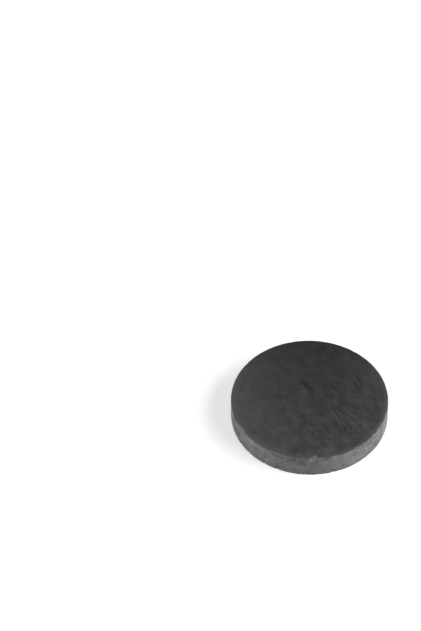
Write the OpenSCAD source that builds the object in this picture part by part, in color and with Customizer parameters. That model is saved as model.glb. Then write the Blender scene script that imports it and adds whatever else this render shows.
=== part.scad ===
// Disc magnet of sintered ferrite, 20 x 3 mm, with the chips and marks of handling.
// It was pressed, fired and ground as one piece. The lower pole face lies on z = 0 and the
// disc's axis is +Z. Angles run anticlockwise from +X, seen from above. All sizes are in mm.

/* [Disc] */
// Outside diameter of the disc
disc_d = 20; // [14:0.5:60]
// Thickness from pole face to pole face
disc_t = 3; // [2:0.1:10]

/* [Edges] */
// Radius round the upper pole face
upper_edge_r = 0.12; // [0.05:0.01:0.30]
// Radius round the lower pole face
lower_edge_r = 0.11; // [0.05:0.01:0.30]

/* [Chips in the upper edge] */
// Length of the longest chip, along the edge
upper_chip_len = 1.90; // [1.40:0.05:2.40]
// Depth of the deepest chip, from where the sharp corner would be
upper_chip_depth = 0.36; // [0.28:0.01:0.40]

/* [Chips in the lower edge] */
// Length of the longest chip, along the edge
lower_chip_len = 1.10; // [0.80:0.05:1.60]
// Depth of the deepest chip, from where the sharp corner would be
lower_chip_depth = 0.12; // [0.10:0.01:0.20]

/* [Worn stretch of the upper edge] */
// Length of the worn stretch, along the edge
worn_len = 3.60; // [1.00:0.10:4.00]
// Depth of the wear, from where the sharp corner would be
worn_depth = 0.15; // [0.14:0.01:0.25]
// Where its middle is, in degrees
worn_angle = -111; // [-180:1:180]

/* [Pits] */
// Width of the widest pit in the upper pole face
face_pit_w = 1.30; // [0.40:0.05:2.00]
// Depth of the deepest pit in the upper pole face
face_pit_depth = 0.03; // [0.02:0.01:0.10]
// Width of the widest pit in the rim
rim_pit_w = 0.65; // [0.40:0.05:0.80]
// Depth of the deepest pit in the rim
rim_pit_depth = 0.06; // [0.02:0.01:0.10]

/* [Scratch in the upper pole face] */
// Length of the scratch
scratch_len = 1.90; // [1.00:0.05:4.00]
// Width of the scratch at its middle
scratch_w = 0.28; // [0.10:0.02:0.50]
// Depth of the scratch at its middle
scratch_depth = 0.04; // [0.02:0.01:0.10]
// Direction of the scratch, which follows the grinding, in degrees
grind_angle = 117; // [0:1:180]

/* [Crack in the rim] */
// Length of the crack's mouth
crack_len = 1.90; // [0.50:0.05:2.50]
// Width of its mouth, where the two sides have crumbled
crack_w = 0.40; // [0.10:0.02:0.50]
// Depth of its crumbled mouth
crack_depth = 0.08; // [0.02:0.01:0.10]
// How far it leans from upright, in degrees
crack_lean = 31; // [0:1:60]

/* [Hidden] */
$fn = 128;
disc_r = disc_d / 2;
// Chips are [angle, share of the longest, share of the deepest, lean]. The lean says which way
// a chip left: 0 straight out from the rim, 90 straight off the pole face, 45 off both alike.
UPPER_CHIPS = [
    [-151, 1.00, 0.60, 6],
    [-137, 0.28, 0.32, 50],
    [-121, 0.40, 0.65, 12],
    [-98, 0.20, 0.55, 30],
    [-88.5, 0.68, 1.00, 14],
    [-83, 0.55, 0.40, 66],
    [-72, 0.80, 0.60, 8],
    [-55, 0.35, 0.40, 56],
    [-38, 0.32, 0.42, 28],
    [-31, 0.34, 0.50, 12],
    [-26, 0.36, 0.36, 66],
    [-17, 0.27, 0.36, 24]
];
LOWER_CHIPS = [
    [-151, 0.90, 0.80, 40],
    [-142, 0.60, 0.70, 40],
    [-126, 0.60, 0.90, 40],
    [-115, 0.70, 1.00, 40],
    [-75, 0.80, 1.00, 35],
    [-55, 0.40, 0.70, 40],
    [-43, 0.50, 0.80, 45]
];
// The way that rubbing against a neighbour leaned on the worn stretch, as for a chip
WORN_LEAN = 60;
// Face pits are [share of the disc's radius, angle, share of the widest, share of the deepest].
// The first three run into one another as one comma-shaped hollow.
FACE_PITS = [
    [0.261, 102, 1.00, 1.00],
    [0.190, 90, 0.70, 0.80],
    [0.110, 65, 0.45, 0.55],
    [0.668, 15, 0.60, 0.70],
    [0.206, 14, 0.35, 0.45],
    [0.855, 19, 0.35, 0.60],
    [0.893, 47, 0.30, 0.50],
    [0.900, -88, 0.30, 0.50]
];
// Rim pits are [angle, share of the thickness, share of the widest, share of the deepest]
RIM_PITS = [
    [-151, 0.18, 1.00, 0.80],
    [-126, 0.47, 0.70, 0.60],
    [-115, 0.20, 0.80, 0.80],
    [-112, 0.58, 0.60, 0.60],
    [-75, 0.17, 0.90, 1.00],
    [-67, 0.30, 0.85, 1.00],
    [-56.5, 0.77, 0.55, 0.60],
    [-49, 0.60, 0.55, 0.60],
    [-29, 0.40, 0.50, 0.70]
];
// The scratch's middle, as [share of the disc's radius, angle]
SCRATCH_AT = [0.418, -37];
// The crack's middle, as [angle, share of the thickness]
CRACK_AT = [-96.8, 0.80];

// Radius of a ball whose cap has this width and depth
function cap_ball_r(width, depth) = (width * width / 4 + depth * depth) / (2 * depth);

// How far outside the corner the ball's centre lies, for a scoop that meets the round edge
// over this length. It allows for the edge curving away from the ball to both sides.
function scoop_out(len, depth, lean) =
    let (half_turn = len / disc_r * 90 / PI)
    let (chord = 2 * disc_r * sin(half_turn / 2))
    let (sagitta = disc_r * (1 - cos(half_turn)))
    (chord * chord - depth * depth) / (2 * (depth - sagitta * cos(lean)));

// The pressed disc with its two edges rounded, turned about +Z
module blank()
    rotate_extrude()
        intersection() {
            square([disc_r, disc_t]);
            union() {
                square([disc_r - max(upper_edge_r, lower_edge_r), disc_t]);
                translate([0, lower_edge_r])
                    square([disc_r, disc_t - upper_edge_r - lower_edge_r]);
                translate([disc_r - upper_edge_r, disc_t - upper_edge_r])
                    circle(upper_edge_r);
                translate([disc_r - lower_edge_r, lower_edge_r])
                    circle(lower_edge_r);
            }
        }

// A scoop out of the edge at height z, shelled out as such a brittle ceramic breaks. up is 1
// for the upper edge and -1 for the lower.
module edge_scoop(angle, len, depth, lean, z, up) {
    out = scoop_out(len, depth, lean);
    rotate(angle)
        translate([disc_r + out * cos(lean), 0, z + up * out * sin(lean)])
            sphere(out + depth);
}

module edge_chips(chips, len, depth, z, up)
    for (c = chips)
        edge_scoop(c[0], c[1] * len, c[2] * depth, c[3], z, up);

module face_pits()
    for (p = FACE_PITS) {
        ball_r = cap_ball_r(p[2] * face_pit_w, p[3] * face_pit_depth);
        rotate(p[1])
            translate([p[0] * disc_r, 0, disc_t + ball_r - p[3] * face_pit_depth])
                sphere(ball_r);
    }

module rim_pits()
    for (p = RIM_PITS) {
        ball_r = cap_ball_r(p[2] * rim_pit_w, p[3] * rim_pit_depth);
        rotate(p[0])
            translate([disc_r + ball_r - p[3] * rim_pit_depth, 0, p[1] * disc_t])
                sphere(ball_r);
    }

// The path of a sharp-edged wheel along X, sunk into a surface at z = 0 until its chord is the
// groove's length. Such a groove is widest in the middle and fades at both ends.
module groove(len, width, depth) {
    wheel_r = cap_ball_r(len, depth);
    flat_r = wheel_r - depth;
    half_w = width / 2;
    translate([0, 0, flat_r])
        rotate([90, 0, 0])
            rotate_extrude()
                polygon([
                    [0, -half_w],
                    [flat_r, -half_w],
                    [wheel_r, 0],
                    [flat_r, half_w],
                    [0, half_w]
                ]);
}

module scratch()
    rotate(SCRATCH_AT[1])
        translate([SCRATCH_AT[0] * disc_r, 0, disc_t])
            rotate(grind_angle - SCRATCH_AT[1])
                groove(scratch_len, scratch_w, scratch_depth);

// The crack runs down the rim, with its lower end leaning anticlockwise
module crack()
    rotate(CRACK_AT[0])
        translate([disc_r, 0, CRACK_AT[1] * disc_t])
            rotate([0, 90, 0])
                rotate(crack_lean)
                    groove(crack_len, crack_w, crack_depth);

module ferrite_disc()
    color("#3b3b3d")
        difference() {
            blank();
            edge_chips(UPPER_CHIPS, upper_chip_len, upper_chip_depth, disc_t, 1);
            edge_chips(LOWER_CHIPS, lower_chip_len, lower_chip_depth, 0, -1);
            edge_scoop(worn_angle, worn_len, worn_depth, WORN_LEAN, disc_t, 1);
            face_pits();
            rim_pits();
            scratch();
            crack();
        }

ferrite_disc();
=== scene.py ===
import math
import random

import bmesh
import bpy
from mathutils import Matrix, Vector, kdtree, noise


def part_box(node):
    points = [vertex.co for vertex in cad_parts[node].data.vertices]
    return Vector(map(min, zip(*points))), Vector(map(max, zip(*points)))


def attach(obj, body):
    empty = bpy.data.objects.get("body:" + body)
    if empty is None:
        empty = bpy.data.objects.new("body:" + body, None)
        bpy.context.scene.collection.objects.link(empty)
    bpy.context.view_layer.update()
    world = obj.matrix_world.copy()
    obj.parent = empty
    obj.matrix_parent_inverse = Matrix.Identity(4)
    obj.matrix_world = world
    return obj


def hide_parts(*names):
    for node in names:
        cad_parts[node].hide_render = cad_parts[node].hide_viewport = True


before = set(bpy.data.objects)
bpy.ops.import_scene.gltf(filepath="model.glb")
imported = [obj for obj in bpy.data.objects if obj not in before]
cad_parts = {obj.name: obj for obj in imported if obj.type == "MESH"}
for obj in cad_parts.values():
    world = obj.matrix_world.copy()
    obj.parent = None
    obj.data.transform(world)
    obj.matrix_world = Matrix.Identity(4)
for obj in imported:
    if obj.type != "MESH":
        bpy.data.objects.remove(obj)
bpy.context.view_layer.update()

# ---- Ferrite disc ----
# The magnet is strontium ferrite powder, pressed in a round die, fired hard like a ceramic and
# ground flat on both pole faces. It is brittle, so every knock against steel or a neighbour
# shells a small chip out of its edges. It lies loose on its lower pole face.

# Sizes are in mm until the mesh is done. Angles are in degrees from +X, and heights are from the
# lower pole face.
MM = 0.001
disc_low, disc_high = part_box("ferrite_disc")
disc_r = round((disc_high.x - disc_low.x) / 2 / MM, 2)
disc_t = round((disc_high.z - disc_low.z) / MM, 2)
upper_edge_r, lower_edge_r = 0.12, 0.11

# Big chips in the two edges: angle, length along the edge, depth, lean. The lean says which way
# a chip left, 0 straight out from the rim and 90 straight off the pole face. The last of the
# upper ones is a long worn stretch.
upper_chips = [
    (-151, 1.90, 0.216, 6), (-137, 0.532, 0.115, 50), (-121, 0.76, 0.234, 12),
    (-98, 0.38, 0.198, 30), (-88.5, 1.292, 0.36, 14), (-83, 1.045, 0.144, 66),
    (-72, 1.52, 0.216, 8), (-55, 0.665, 0.144, 56), (-38, 0.608, 0.151, 28),
    (-31, 0.646, 0.18, 12), (-26, 0.684, 0.13, 66), (-17, 0.513, 0.13, 24),
    (-111, 3.60, 0.15, 60),
]
lower_chips = [
    (-151, 0.99, 0.096, 40), (-142, 0.66, 0.084, 40), (-126, 0.66, 0.108, 40),
    (-115, 0.77, 0.12, 40), (-75, 0.88, 0.12, 35), (-55, 0.44, 0.084, 40),
    (-43, 0.55, 0.096, 45),
]
# Pits in the upper face: distance from the axis, angle, width, depth. The first three run into
# one another as one comma-shaped hollow.
comma_pits = [(2.61, 102, 1.30, 0.030), (1.90, 90, 0.91, 0.024), (1.10, 65, 0.585, 0.0165)]
lone_pits = [
    (6.68, 15, 0.78, 0.021), (2.06, 14, 0.455, 0.0135), (8.55, 19, 0.455, 0.018),
    (8.93, 47, 0.39, 0.015), (9.00, -88, 0.39, 0.015),
]
# Pits in the rim: angle, height, width, depth
rim_pits = [
    (-151, 0.54, 0.65, 0.048), (-126, 1.41, 0.455, 0.036), (-115, 0.60, 0.52, 0.048),
    (-112, 1.74, 0.39, 0.036), (-75, 0.51, 0.585, 0.06), (-67, 0.90, 0.5525, 0.06),
    (-56.5, 2.31, 0.3575, 0.036), (-49, 1.80, 0.3575, 0.036), (-29, 1.20, 0.325, 0.042),
]
# Two grooves, each widest at its middle. The scratch in the upper face runs as the grinding
# does: distance from the axis and angle of its middle, direction.
scratch_mid, grind_turn = (4.18, -37), 117
scratch_len, scratch_w, scratch_depth = 1.90, 0.28, 0.04
# The crack runs down the rim: angle and height of its middle, lean from upright
crack_mid, crack_lean = (-96.8, 2.40), 31
crack_len, crack_w, crack_depth = 1.90, 0.40, 0.08

# The mesh starts as a section of the disc's outer band: upper face, rounded edge, wall of the
# rim, lower edge, lower face. It is fine next to the edges, which are chipped, and coarser in
# the middle of the wall. Inside the band the faces are flat.
band, fine, coarse = 0.8, 0.05, 0.09
inner_r = disc_r - band
# Two heights closer than this count as one, and a point may lie this far outside a radius and
# still count as on it
same, slack = 0.001, 0.01


def steps(start, end, size):
    count = round(abs(end - start) / size)
    return [start + (end - start) * (i + 1) / count for i in range(count)]


def rounding(edge_r, height, up):
    turns = [math.pi / 2 * i / 4 for i in range(1, 5)]
    if up:
        return [(disc_r - edge_r * (1 - math.sin(a)), height - edge_r * (1 - math.cos(a)))
                for a in turns]
    return [(disc_r - edge_r * (1 - math.cos(a)), height + edge_r * (1 - math.sin(a)))
            for a in turns]


section = [(r, disc_t) for r in steps(inner_r, disc_r - upper_edge_r, fine)]
section += rounding(upper_edge_r, disc_t, True)
section += [(disc_r, z) for z in steps(disc_t - upper_edge_r, disc_t - band, fine)]
section += [(disc_r, z) for z in steps(disc_t - band, band, coarse)]
section += [(disc_r, z) for z in steps(band, lower_edge_r, fine)]
section += rounding(lower_edge_r, 0, False)
section += [(r, 0) for r in steps(disc_r - lower_edge_r, inner_r, coarse)]

# Each ring is drawn out of the last one
around = 800
disc = bmesh.new()
bmesh.ops.create_circle(disc, segments=around, radius=inner_r)
bmesh.ops.translate(disc, vec=(0, 0, disc_t), verts=disc.verts[:])
loop = disc.edges[:]
last_r, last_z = inner_r, disc_t
for r, z in section:
    made = bmesh.ops.extrude_edge_only(disc, edges=loop)["geom"]
    ring = [g for g in made if isinstance(g, bmesh.types.BMVert)]
    bmesh.ops.scale(disc, verts=ring, vec=(r / last_r, r / last_r, 1))
    bmesh.ops.translate(disc, verts=ring, vec=(0, 0, z - last_z))
    new = set(ring)
    loop = [g for g in made if isinstance(g, bmesh.types.BMEdge)
            and g.verts[0] in new and g.verts[1] in new]
    last_r, last_z = r, z

# The flat middles of the pole faces are rings too: radius, and whether the ring has half as many
# corners as the one round it
flat_rings = [(8.9, True), (8.4, True), (7.6, True), (6.2, True), (4.6, False), (3.0, False),
              (1.5, False)]
for z in (disc_t, 0):
    loop = [e for e in disc.edges if e.is_boundary
            and all(abs(v.co.z - z) < same for v in e.verts)]
    last_r = inner_r
    for r, halve in flat_rings:
        made = bmesh.ops.extrude_edge_only(disc, edges=loop)["geom"]
        ring = [g for g in made if isinstance(g, bmesh.types.BMVert)]
        bmesh.ops.scale(disc, verts=ring, vec=(r / last_r, r / last_r, 1))
        if halve:
            ring.sort(key=lambda v: math.atan2(v.co.y, v.co.x))
            bmesh.ops.weld_verts(disc, targetmap={b: a for a, b in zip(ring[::2], ring[1::2])})
        last_r = r
        loop = [e for e in disc.edges if e.is_boundary and all(
            abs(v.co.z - z) < same and v.co.xy.length < r + slack for v in e.verts)]
    bmesh.ops.edgeloop_fill(disc, edges=loop)


def on_flat(face):
    return all(v.co.xy.length < inner_r + slack for v in face.verts)


def spot(out, angle):
    return Vector((out * math.cos(math.radians(angle)), out * math.sin(math.radians(angle))))


bmesh.ops.triangulate(disc, faces=[f for f in disc.faces if on_flat(f)])

# The upper face is made finer at each of its marks, given as middle and width: edges there are
# halved until none is too long. The scratch has five marks along it.
longest_edge, margin = 0.06, 0.1
marks = [(spot(out, angle), width) for out, angle, width, _ in comma_pits + lone_pits]
scratch_at, scratch_dir = spot(*scratch_mid), spot(1, grind_turn)
marks += [(scratch_at + scratch_dir * share * scratch_len, scratch_w + margin)
          for share in (-0.4, -0.2, 0, 0.2, 0.4)]


def in_mark(edge):
    middle = ((edge.verts[0].co + edge.verts[1].co) / 2).xy
    half_edge = edge.calc_length() / 2
    return any((middle - at).length < width / 2 + margin + half_edge for at, width in marks)


for _ in range(8):
    long_edges = [
        e for e in disc.edges
        if e.calc_length() > longest_edge
        and all(abs(v.co.z - disc_t) < same for v in e.verts)
        and min(v.co.xy.length for v in e.verts) < inner_r - fine
        and in_mark(e)
    ]
    if not long_edges:
        break
    bmesh.ops.subdivide_edges(disc, edges=long_edges, cuts=1)
    split = [f for f in disc.faces if len(f.verts) > 4 or len(f.verts) == 4 and on_flat(f)]
    bmesh.ops.triangulate(disc, faces=split)

disc.verts.index_update()
disc.verts.ensure_lookup_table()
before = [v.co.copy() for v in disc.verts]
disc_points = kdtree.KDTree(len(disc.verts))
for v in disc.verts:
    disc_points.insert(v.co, v.index)
disc_points.balance()
# The tree holds places from before any scoop, so it is searched this much wider
moved_since = 0.3


# Everything inside a ball is pressed out to the ball's skin, which is how a scoop is cut
def scoop(centre, ball_r):
    pressed = set()
    for _, index, _ in disc_points.find_range(centre, ball_r + moved_since):
        out = disc.verts[index].co - centre
        if out.length < ball_r:
            disc.verts[index].co = centre + out * (ball_r / out.length)
            pressed.add(index)
    return pressed


# The ball stands outside the corner, so that its scoop meets the round edge over this length
def chip(angle, length, depth, lean, up):
    half_turn = length / disc_r / 2
    sagitta = disc_r * (1 - math.cos(half_turn))
    chord = 2 * disc_r * math.sin(half_turn / 2)
    a, tilt = math.radians(angle), math.radians(lean)
    out = (chord ** 2 - depth ** 2) / (2 * (depth - sagitta * math.cos(tilt)))
    reach = disc_r + out * math.cos(tilt)
    height = disc_t + out * math.sin(tilt) if up else -out * math.sin(tilt)
    scoop(Vector((reach * math.cos(a), reach * math.sin(a), height)), out + depth)


# The radius of a ball whose cap, or of a wheel whose cut, has this width and depth
def cap_r(width, depth):
    return (width ** 2 / 4 + depth ** 2) / (2 * depth)


for each in upper_chips:
    chip(*each, True)
for each in lower_chips:
    chip(*each, False)
for out, angle, width, depth in comma_pits + lone_pits:
    ball_r = cap_r(width, depth)
    a = math.radians(angle)
    scoop(Vector((out * math.cos(a), out * math.sin(a), disc_t + ball_r - depth)), ball_r)
# The pits in the rim and the crack have caught dust
dusty = set()
for angle, height, width, depth in rim_pits:
    ball_r = cap_r(width, depth)
    a, reach = math.radians(angle), disc_r + ball_r - depth
    dusty |= scoop(Vector((reach * math.cos(a), reach * math.sin(a), height)), ball_r)


# How deep a sharp-edged wheel cuts, sunk in until its chord is the groove's length
def groove(along, across, length, width, depth):
    if abs(along) > length / 2 or abs(across) > width / 2:
        return 0
    wheel_r = cap_r(length, depth)
    edge_r = wheel_r - depth * abs(across) / (width / 2)
    return max(0, math.sqrt(edge_r ** 2 - along ** 2) - wheel_r + depth)


for v in disc.verts:
    if abs(v.co.z - disc_t) < same:
        at = v.co.xy - scratch_at
        along, across = at.dot(scratch_dir), at.cross(scratch_dir)
        v.co.z -= groove(along, across, scratch_len, scratch_w, scratch_depth)
# The rim's wall and what chips and pits have left of it lie less than this far in
wall_in = 0.25
crack_dir = Vector((math.sin(math.radians(crack_lean)), -math.cos(math.radians(crack_lean))))
for v in disc.verts:
    if v.co.xy.length > disc_r - wall_in and v.co.y < 0:
        turn = math.atan2(v.co.y, v.co.x) - math.radians(crack_mid[0])
        at = Vector((turn * disc_r, v.co.z - crack_mid[1]))
        along, across = at.dot(crack_dir), at.cross(crack_dir)
        push = groove(along, across, crack_len, crack_w, crack_depth)
        if push > 0:
            v.co -= Vector((v.co.x, v.co.y, 0)) * (push / disc_r)
            dusty.add(v.index)

# Hundreds of small knocks leave the edges slightly ragged all the way round. Most are some
# 0.14 mm long, and the upper edge has had a few more of them.
upper_knocks, lower_knocks, longest_knock = 170, 150, 0.6
rng = random.Random(7)
for up, count in ((True, upper_knocks), (False, lower_knocks)):
    for _ in range(count):
        length = min(longest_knock, 0.10 * math.exp(rng.gauss(0.35, 0.55)))
        angle = rng.uniform(-180, 180)
        depth = length * rng.uniform(0.16, 0.30) + 0.03
        lean = rng.uniform(15, 75)
        chip(angle, length, depth, lean, up)

# Broken surfaces are rough. What moved is roughened, more where more was lost.
bumps_per_mm, bump_most, bump_share, unmoved = 7, 0.014, 0.25, 0.004
lost = [(v.co - was).length for v, was in zip(disc.verts, before)]
for v, was, gone in zip(disc.verts, before, lost):
    if gone > unmoved:
        bump = noise.fractal(v.co * bumps_per_mm, 1.0, 2.0, 3) * min(bump_most, gone * bump_share)
        v.co -= (was - v.co).normalized() * max(0, bump)
        v.co.z = min(v.co.z, disc_t)

# The comma-shaped hollow holds dust along its whole length: x, y, half width, share
comma = [(-0.55, 2.80, 0.65, 0.56), (-0.02, 2.05, 0.52, 0.38), (0.38, 1.15, 0.36, 0.36),
         (0.37, 0.70, 0.22, 0.28)]
# Painted highlights: spots painted lighter on the upper face, near its front edge and next to
# the comma: x, y, half width, share
painted_face_highlights = [(-0.6, -9.3, 1.5, 0.11), (1.6, -9.1, 0.8, 0.15), (-3.8, -8.5, 1.2, 0.12),
                (-0.65, 1.05, 0.5, 0.15)]
# A thin flake has come off next to the deepest chip
flake_at, flake_half = Vector((0.38, -9.60)), 0.34
# Where the rim is painted lighter or darker: marks, with painted light and shade, as the
# painted highlight on its upper left, the painted shade below it, at the far left and at -Y:
# angle, height, half widths round and up, share
rim_marks_and_painted_light = [
    (-163, 1.90, 12, 1.5, -0.18), (-141, 2.55, 17, 0.7, 0.11), (-140, 1.20, 20, 1.3, -0.08),
    (-116, 2.70, 7, 0.6, -0.07), (-103, 2.50, 12, 0.9, -0.10), (-106, 2.95, 9, 0.4, -0.14),
    (-96, 1.40, 34, 4.0, -0.11), (-88, 2.70, 4, 0.7, -0.12), (-80, 2.90, 6, 0.5, -0.12),
    (-66, 1.60, 14, 1.5, 0.04), (-42, 2.80, 9, 0.9, -0.20), (-31, 2.00, 7, 2.5, -0.08),
    (-20, 2.70, 10, 0.9, -0.09),
]
# The worn stretch as the finish shows it: angle of its middle, half its length as an angle
worn_mid, worn_half = -108, 12


def clamp(share):
    return max(0.0, min(1.0, share))


# A round mark that is full over its middle and fades out to its own half width, where off is 1
def soft_mark(off):
    return min(1, 1.2 * (1 - off ** 2))


def comma_dust(at):
    most = 0.0
    for (x, y, half, share), (next_x, next_y, next_half, next_share) in zip(comma, comma[1:]):
        start, run = Vector((x, y)), Vector((next_x - x, next_y - y))
        along = clamp((at - start).dot(run) / run.length_squared)
        off = (at - start - run * along).length / (half + (next_half - half) * along)
        most = max(most, (share + (next_share - share) * along) * soft_mark(off))
    return most


# The dust in a lone pit reaches a little past its edge, and is darker the deeper the pit
def pit_dust(at):
    reach_share, dark_per_mm = 0.62, 18
    clean = 1.0
    for (pit_at, width), (_, _, _, depth) in zip(marks[len(comma_pits):], lone_pits):
        off = (at - pit_at).length / (reach_share * width)
        clean *= 1 - dark_per_mm * depth * max(0, 1 - off ** 2)
    return 1 - clean


# Both sides of the scratch are painted paler, a painted reflection of its tilted flanks, over
# the middle two thirds of its length
def scratch_flank(along, across):
    flank_mid, flank_half = scratch_w * 0.8, 0.16
    past_end = max(0, abs(along) - scratch_len / 3)
    return max(0, 1 - math.hypot(abs(across) - flank_mid, past_end) / flank_half)


def painted_face_highlight(at):
    return sum(share * max(0, 1 - ((at - Vector((x, y))).length / half) ** 2)
               for x, y, half, share in painted_face_highlights)


def rim_mark_and_painted_light(turn, height):
    return sum(share * max(0, 1 - ((turn - a) / round_it) ** 2 - ((height - z) / up_it) ** 2)
               for a, z, round_it, up_it, share in rim_marks_and_painted_light)


# The upper face is painted paler next to its edge, most at -Y: a painted highlight along the
# edge. A faint band begins 0.8 mm in, and a stronger one is palest at a quarter of a millimetre,
# but for the worn stretch.
def painted_edge_highlight(at, worn):
    faint, strong, rubbed_off = 0.16, 0.25, 0.45
    inward = disc_r - at.length
    wide_band = clamp((0.8 - inward) / 0.6)
    slim_band = clamp(min((0.55 - inward) / 0.25, (inward + 0.02) / 0.25))
    most = faint * wide_band + (strong - rubbed_off * worn) * slim_band
    return most * clamp(0.5 - 0.7 * at.y / disc_r)


# Radii at which the ground faces end and the chips begin, and how far from a face's plane a
# point still belongs to the face, to its ground edge or to its corner
face_end, chips_start = disc_r - 0.2, disc_r - 0.75
face_drop, edge_drop, corner_drop = 0.002, 0.02, 0.03
# Depths at which dust or a break would show in full, and the most that does show
rim_dust_depth, most_rim_dust = 0.04, 0.5
scratch_dust_depth, most_scratch_dust = 0.02, 0.4
broken_depth, most_flake = 0.03, 0.8

# What the finish reads at each point, from 0 to 1: ground flat, broken, holding dust, painted
# light beside the scratch. The last layer is the share by which marks, painted highlights and
# painted shade leave it lighter or darker.
ground = disc.verts.layers.float.new("ground")
broken = disc.verts.layers.float.new("broken")
hollow = disc.verts.layers.float.new("hollow")
painted_flank_light = disc.verts.layers.float.new("painted_flank_light")
marks_and_painted_light = disc.verts.layers.float.new("marks_and_painted_light")
for v, was, gone in zip(disc.verts, before, lost):
    at, out = was.xy, was.xy.length
    turn = math.degrees(math.atan2(was.y, was.x))
    worn = max(0, 1 - ((turn - worn_mid) / worn_half) ** 2)
    off_flat = min(abs(was.z), abs(was.z - disc_t))
    on_face = off_flat < face_drop and out < face_end
    on_upper_face = on_face and was.z > disc_t / 2
    if on_face:
        v[ground] = 1.0
    else:
        # What was ground fades out over the rounded edges
        if off_flat < edge_drop:
            v[ground] = clamp((disc_r - out) / upper_edge_r)
        if v.index in dusty:
            v[hollow] = min(most_rim_dust, gone / rim_dust_depth)
        # Marks and painted light and shade on the rim
        v[marks_and_painted_light] = rim_mark_and_painted_light(turn, was.z)
    if on_upper_face:
        along, across = (at - scratch_at).dot(scratch_dir), (at - scratch_at).cross(scratch_dir)
        cut = groove(along, across, scratch_len, scratch_w, scratch_depth)
        scratch_dust = min(most_scratch_dust, cut / scratch_dust_depth)
        v[hollow] = max(pit_dust(at), scratch_dust, comma_dust(at))
        v[painted_flank_light] = scratch_flank(along, across)
        # Painted highlights on the upper face
        v[marks_and_painted_light] = painted_face_highlight(at)
    # The painted highlight along the upper edge
    if abs(was.z - disc_t) < corner_drop:
        v[marks_and_painted_light] += painted_edge_highlight(at, worn)
    # Where the edge is worn, its face side is rubbed smooth and shows no break
    if out > chips_start:
        v[broken] = min(1.0, gone / broken_depth)
        if on_face:
            v[broken] *= 1 - worn
            if on_upper_face:
                off = (at - flake_at).length / flake_half
                v[broken] = max(v[broken], min(most_flake, soft_mark(off)))
            v[ground] -= v[broken]

bmesh.ops.recalc_face_normals(disc, faces=disc.faces[:])
bmesh.ops.scale(disc, vec=(MM, MM, MM), verts=disc.verts[:])
for f in disc.faces:
    f.smooth = True
disc_mesh = bpy.data.meshes.new("disc_magnet")
disc.to_mesh(disc_mesh)
disc.free()
disc_piece = bpy.data.objects.new("disc_magnet", disc_mesh)
bpy.context.scene.collection.objects.link(disc_piece)
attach(disc_piece, "root")
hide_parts("ferrite_disc")


def linear(colour):
    parts = [int(colour[i:i + 2], 16) / 255 for i in (1, 3, 5)]
    return tuple(c / 12.92 if c <= 0.04045 else ((c + 0.055) / 1.055) ** 2.4 for c in parts) + (1,)


def add(tree, kind, settings={}, links={}):
    node = tree.nodes.new("ShaderNode" + kind)
    for name, value in settings.items():
        if isinstance(name, str) and hasattr(node, name):
            setattr(node, name, value)
        else:
            node.inputs[name].default_value = value
    for name, source in links.items():
        tree.links.new(source, node.inputs[name])
    return node


# Sintered strontium ferrite is a dark grey ceramic that nothing coats. Grinding leaves the pole
# faces dull and even, with faint parallel lines. The rim is as fired, grainier, and marked round
# by rolling on its neighbours.
ferrite = bpy.data.materials.new("sintered ferrite, ground faces and fired rim")
ferrite.use_nodes = True
tree = ferrite.node_tree
tree.nodes.clear()
place = add(tree, "TexCoord").outputs["Object"]
place_xyz = add(tree, "SeparateXYZ", {}, {0: place}).outputs
is_ground = add(tree, "Attribute", {"attribute_name": "ground"}).outputs["Fac"]
is_broken = add(tree, "Attribute", {"attribute_name": "broken"}).outputs["Fac"]
is_hollow = add(tree, "Attribute", {"attribute_name": "hollow"}).outputs["Fac"]
is_painted_flank_light = add(tree, "Attribute", {"attribute_name": "painted_flank_light"}).outputs["Fac"]
is_marks_and_painted_light = add(tree, "Attribute", {"attribute_name": "marks_and_painted_light"}).outputs["Fac"]

# The fired body is a shade uneven, from patches 1.5 mm across down to 0.2 mm
body_at = add(tree, "Mapping", {"vector_type": "TEXTURE", "Scale": (1.5 * MM,) * 3},
              {"Vector": place})
body = add(tree, "TexNoise", {"Scale": 1.0, "Detail": 3.0, "Roughness": 0.95},
           {"Vector": body_at.outputs[0]}).outputs["Fac"]

# Grinding lines, 0.5 mm apart and some 2 mm long. They bit deeper on the side where the wheel
# came on, at +X.
line_at = add(tree, "Mapping", {"vector_type": "TEXTURE", "Scale": (2 * MM, 0.5 * MM, 9 * MM),
                                "Rotation": (0, 0, math.radians(grind_turn))}, {"Vector": place})
line = add(tree, "TexNoise", {"Scale": 1.0, "Detail": 3.0, "Roughness": 0.7},
           {"Vector": line_at.outputs[0]}).outputs["Fac"]
bite = add(tree, "MapRange", {"interpolation_type": "SMOOTHSTEP", "From Min": -3 * MM,
                              "From Max": 8 * MM, "To Min": 0.35, "To Max": 1.0},
           {"Value": place_xyz["X"]}).outputs[0]
line_mid = add(tree, "Math", {"operation": "SUBTRACT", 1: 0.5}, {0: line}).outputs[0]
face_tone = add(tree, "Math", {"operation": "MULTIPLY_ADD"},
                {0: line_mid, 1: bite, 2: body}).outputs[0]

# It is patchier towards -Y, and evener towards +Y
patchy = add(tree, "MapRange", {"From Min": -8 * MM, "From Max": 8 * MM, "To Min": 1.05,
                                "To Max": 0.45}, {"Value": place_xyz["Y"]}).outputs[0]
face_tone = add(tree, "Math", {"operation": "SUBTRACT", 1: 0.5}, {0: face_tone}).outputs[0]
face_tone = add(tree, "Math", {"operation": "MULTIPLY"}, {0: face_tone, 1: patchy}).outputs[0]

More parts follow.
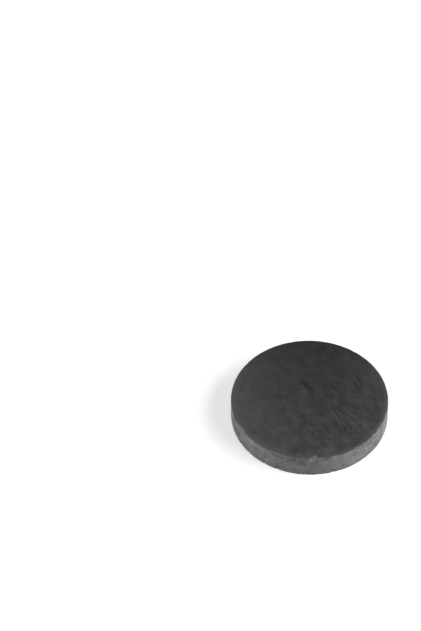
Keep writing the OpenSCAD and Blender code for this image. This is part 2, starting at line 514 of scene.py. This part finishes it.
# Painted shade: the face is painted a shade lighter towards -Y, by about 1 % of the range a
# millimetre, and at both sides, for light that falls unevenly across it
painted_lighter_per_metre, mid_tone = -11.0, 0.46
painted_face_shade = add(tree, "Math", {"operation": "MULTIPLY_ADD", 1: painted_lighter_per_metre, 2: mid_tone},
            {0: place_xyz["Y"]}).outputs[0]
off_mid = add(tree, "Math", {"operation": "MULTIPLY_ADD", 1: 1 / (6 * MM), 2: -0.25},
              {0: place_xyz["X"]}).outputs[0]
painted_sides = add(tree, "Math", {"operation": "MULTIPLY"}, {0: off_mid, 1: off_mid}).outputs[0]
painted_face_shade = add(tree, "Math", {"operation": "MULTIPLY_ADD", 1: 0.08}, {0: painted_sides, 2: painted_face_shade}).outputs[0]
face_tone = add(tree, "Math", {}, {0: face_tone, 1: painted_face_shade}).outputs[0]
# Marks and painted light on the face
face_tone = add(tree, "Math", {}, {0: face_tone, 1: is_marks_and_painted_light}).outputs[0]

# Grain of the fired rim, drawn 0.8 mm down to 0.1 mm across, because its own few microns
# would not show, and the marks of rolling that run round it, 0.15 mm apart
grain_at = add(tree, "Mapping", {"vector_type": "TEXTURE", "Scale": (0.8 * MM,) * 3},
               {"Vector": place})
grain = add(tree, "TexNoise", {"Scale": 1.0, "Detail": 3.0, "Roughness": 0.85},
            {"Vector": grain_at.outputs[0]}).outputs["Fac"]
roll_at = add(tree, "Mapping", {"vector_type": "TEXTURE", "Scale": (2 * MM, 2 * MM, 0.15 * MM)},
              {"Vector": place})
roll = add(tree, "TexNoise", {"Scale": 1.0, "Detail": 1.0, "Roughness": 0.6},
           {"Vector": roll_at.outputs[0]}).outputs["Fac"]
roll_mid = add(tree, "Math", {"operation": "SUBTRACT", 1: 0.5}, {0: roll}).outputs[0]
rim_tone = add(tree, "Math", {"operation": "MULTIPLY_ADD", 1: 0.2},
               {0: roll_mid, 2: grain}).outputs[0]

# It is worn evener at -Y than at both sides
off_front = add(tree, "Math", {"operation": "ABSOLUTE"}, {0: place_xyz["X"]}).outputs[0]
grainy = add(tree, "MapRange", {"From Max": 7 * MM, "To Min": 0.50, "To Max": 1.05},
             {"Value": off_front}).outputs[0]
rim_tone = add(tree, "Math", {"operation": "SUBTRACT", 1: 0.5}, {0: rim_tone}).outputs[0]
rim_tone = add(tree, "Math", {"operation": "MULTIPLY_ADD", 2: 0.5},
               {0: rim_tone, 1: grainy}).outputs[0]
# Marks and painted light and shade on the rim
rim_tone = add(tree, "Math", {}, {0: rim_tone, 1: is_marks_and_painted_light}).outputs[0]

# Colour follows both tones. Broken ceramic is paler, the hollows hold dark dust, and the sides
# of the scratch are painted pale, a painted reflection of its flanks.
face_share = add(tree, "MapRange", {"From Min": 0.12, "From Max": 0.88},
                 {"Value": face_tone}).outputs[0]
rim_share = add(tree, "MapRange", {"From Min": 0.23, "From Max": 0.77},
                {"Value": rim_tone}).outputs[0]
face_colour = add(tree, "MixRGB", {1: linear("#0f0f0f"), 2: linear("#464646")},
                  {0: face_share}).outputs[0]
rim_colour = add(tree, "MixRGB", {1: linear("#0a0a0a"), 2: linear("#646464")},
                 {0: rim_share}).outputs[0]
colour = add(tree, "MixRGB", {}, {0: is_ground, 1: rim_colour, 2: face_colour}).outputs[0]
chipped = add(tree, "Math", {"operation": "MULTIPLY", 1: 0.4}, {0: is_broken}).outputs[0]
colour = add(tree, "MixRGB", {2: linear("#6a6a6a")}, {0: chipped, 1: colour}).outputs[0]
colour = add(tree, "MixRGB", {2: linear("#0c0c0c")}, {0: is_hollow, 1: colour}).outputs[0]
flank_light_share = add(tree, "Math", {"operation": "MULTIPLY", 1: 0.45}, {0: is_painted_flank_light}).outputs[0]
colour = add(tree, "MixRGB", {2: linear("#505050")}, {0: flank_light_share, 1: colour}).outputs[0]

# Roughness: the ground face is dull where it is lighter, the rim where it is darker, and broken
# ceramic has hardly any sheen
face_rough = add(tree, "MapRange", {"From Min": 0.25, "From Max": 0.75, "To Min": 0.28,
                                    "To Max": 0.46}, {"Value": face_tone}).outputs[0]
rim_rough = add(tree, "MapRange", {"From Min": 0.25, "From Max": 0.75, "To Min": 0.56,
                                   "To Max": 0.30}, {"Value": rim_tone}).outputs[0]
rough = add(tree, "Mix", {}, {"Factor": is_ground, 2: rim_rough, 3: face_rough}).outputs[0]
rough = add(tree, "Mix", {3: 0.75}, {"Factor": is_broken, 2: rough}).outputs[0]
dust_rough = add(tree, "Mix", {2: 0.9, 3: 0.28}, {"Factor": is_ground}).outputs[0]
rough = add(tree, "Mix", {}, {"Factor": is_hollow, 2: rough, 3: dust_rough}).outputs[0]

# Relief: a few microns on the ground faces and some 20 on the rim, where it is as coarse as the
# grain is drawn
face_relief = add(tree, "Math", {"operation": "MULTIPLY"}, {0: face_tone, 1: is_ground}).outputs[0]
not_ground = add(tree, "Math", {"operation": "SUBTRACT", 0: 1.0}, {1: is_ground}).outputs[0]
rim_relief = add(tree, "Math", {"operation": "MULTIPLY"}, {0: rim_tone, 1: not_ground}).outputs[0]
relief = add(tree, "Bump", {"Distance": 0.03 * MM}, {"Height": face_relief}).outputs[0]
relief = add(tree, "Bump", {"Distance": 0.11 * MM},
             {"Height": rim_relief, "Normal": relief}).outputs[0]

shader = add(tree, "BsdfPrincipled", {"IOR": 1.68},
             {"Base Color": colour, "Roughness": rough, "Normal": relief})
add(tree, "OutputMaterial", {}, {"Surface": shader.outputs[0]})
disc_mesh.materials.append(ferrite)

# ---- Sweep ----
# The disc lies on a round table of white paper, whose rim curves up into a low wall. It is part
# of the studio, not of the magnet. Its sizes are in metres.
table_r = 0.85
table_rim = [(0.90, 0.006), (0.94, 0.022), (0.97, 0.050), (0.99, 0.090), (1.0, 0.140),
             (1.0, 0.45)]
table = bmesh.new()
bmesh.ops.create_circle(table, cap_ends=True, segments=96, radius=table_r)
wall = [e for e in table.edges if e.is_boundary]
last_r, last_z = table_r, 0.0
for r, z in table_rim:
    made = bmesh.ops.extrude_edge_only(table, edges=wall)["geom"]
    ring = [g for g in made if isinstance(g, bmesh.types.BMVert)]
    bmesh.ops.scale(table, verts=ring, vec=(r / last_r, r / last_r, 1))
    bmesh.ops.translate(table, verts=ring, vec=(0, 0, z - last_z))
    wall = [e for e in table.edges if e.is_boundary and all(v in ring for v in e.verts)]
    last_r, last_z = r, z
bmesh.ops.recalc_face_normals(table, faces=table.faces[:])
for f in table.faces:
    f.smooth = len(f.verts) == 4
sweep_mesh = bpy.data.meshes.new("sweep")
table.to_mesh(sweep_mesh)
table.free()
sweep = bpy.data.objects.new("sweep", sweep_mesh)
bpy.context.scene.collection.objects.link(sweep)

# It lights the disc as plain white paper, and shows as clean white round the disc's shadow
paper = bpy.data.materials.new("white seamless paper")
paper.use_nodes = True
tree = paper.node_tree
tree.nodes.clear()
plain = add(tree, "BsdfDiffuse", {"Color": linear("#eeeeee")}).outputs[0]
dimmed = add(tree, "BsdfDiffuse", {"Color": linear("#e2e2e2")}).outputs[0]
glow = add(tree, "Emission", {"Strength": 0.44}).outputs[0]
shown = add(tree, "AddShader", {}, {0: dimmed, 1: glow}).outputs[0]
ray = add(tree, "LightPath").outputs
seen = add(tree, "Math", {"operation": "MAXIMUM"},
           {0: ray["Is Camera Ray"], 1: ray["Is Glossy Ray"]}).outputs[0]
seen = add(tree, "Math", {"operation": "MAXIMUM"},
           {0: seen, 1: ray["Is Transmission Ray"]}).outputs[0]
mixed = add(tree, "MixShader", {}, {0: seen, 1: plain, 2: shown})
add(tree, "OutputMaterial", {}, {"Surface": mixed.outputs[0]})
sweep_mesh.materials.append(paper)

# ---- Lights ----
# Two broad softboxes stand low on both sides of the disc, the right one stronger, and a small
# weak one hangs above. All face the disc, and the white world only fills the deepest shade.
world = bpy.data.worlds.new("studio")
bpy.context.scene.world = world
world.use_nodes = True
fill = world.node_tree.nodes["Background"]
fill.inputs["Color"].default_value = (1, 1, 1, 1)
fill.inputs["Strength"].default_value = 0.05


def softbox(name, azimuth, elevation, width, height, watts, distance=0.5):
    lamp = bpy.data.lights.new(name, "AREA")
    lamp.shape = "RECTANGLE"
    lamp.size, lamp.size_y = width, height
    lamp.energy = watts
    box = bpy.data.objects.new(name, lamp)
    a, e = math.radians(azimuth), math.radians(elevation)
    stand = Vector((math.cos(a) * math.cos(e), math.sin(a) * math.cos(e), math.sin(e))) * distance
    box.location = stand
    box.rotation_euler = (-stand).to_track_quat("-Z", "Y").to_euler()
    bpy.context.scene.collection.objects.link(box)


softbox("left", azimuth=208, elevation=24, width=0.45, height=0.4, watts=2.0)
softbox("right", azimuth=350, elevation=24, width=0.65, height=0.5, watts=5.2)
softbox("top", azimuth=90, elevation=75, width=0.3, height=0.3, watts=0.15)

# ---- Camera ----
# A long lens looks down on the disc from 0.39 m away on its -Y side, leaning by less than a
# degree. Its place is in metres.
camera_data = bpy.data.cameras.new("camera")
camera_data.lens = 174.2
camera_data.sensor_width = 36
camera_data.clip_start, camera_data.clip_end = 0.01, 10
camera = bpy.data.objects.new("camera", camera_data)
camera_x, camera_y, camera_z = -12.43 * MM, -252.33 * MM, 297.64 * MM
look_down, lean = math.radians(47.83), math.radians(-0.804)
forward = Vector((0, math.cos(look_down), -math.sin(look_down)))
right = Vector((1, 0, 0))
up = right.cross(forward)
leaning_right = right * math.cos(lean) + up * math.sin(lean)
leaning_up = up * math.cos(lean) - right * math.sin(lean)
camera.matrix_world = Matrix((
    (leaning_right.x, leaning_up.x, -forward.x, camera_x),
    (leaning_right.y, leaning_up.y, -forward.y, camera_y),
    (leaning_right.z, leaning_up.z, -forward.z, camera_z),
    (0, 0, 0, 1)))
bpy.context.scene.collection.objects.link(camera)
bpy.context.scene.camera = camera
bpy.context.scene.view_settings.view_transform = "Standard"
